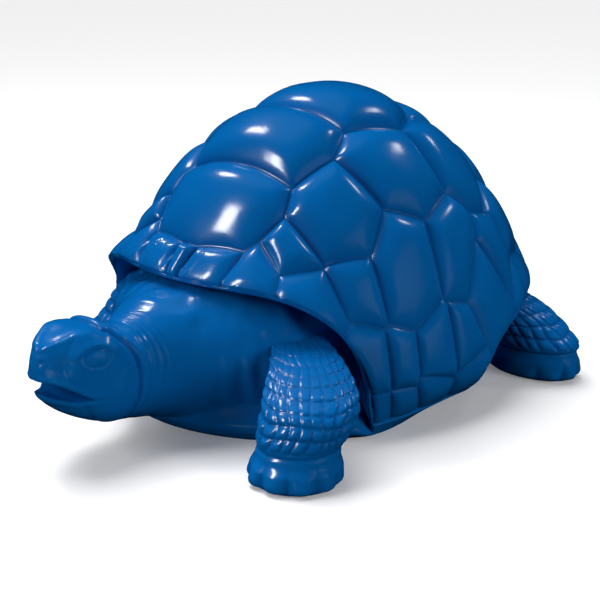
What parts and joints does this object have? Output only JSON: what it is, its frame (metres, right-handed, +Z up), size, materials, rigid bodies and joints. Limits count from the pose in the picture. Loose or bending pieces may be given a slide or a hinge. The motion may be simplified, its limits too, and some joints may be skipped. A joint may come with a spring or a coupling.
{
  "type": "turtle sculpture",
  "caption": "Life-size land turtle with a high domed shell of bulging scutes, neck stretched forward, walking on scaly legs; a glossy moulded figure that stands on the floor.",
  "frame": {"origin": "on the floor, at the middle of the footprint", "axes": "+Z up, the head points along -Y, the animal's left side is +X"},
  "size_m": [0.7788, 1.065, 0.4853],
  "materials": {
    "blue_plastic": "glossy moulded plastic, one colour all over"
  },
  "bodies": {
    "root": {"turtle": "blue_plastic"}
  },
  "joints": []
}
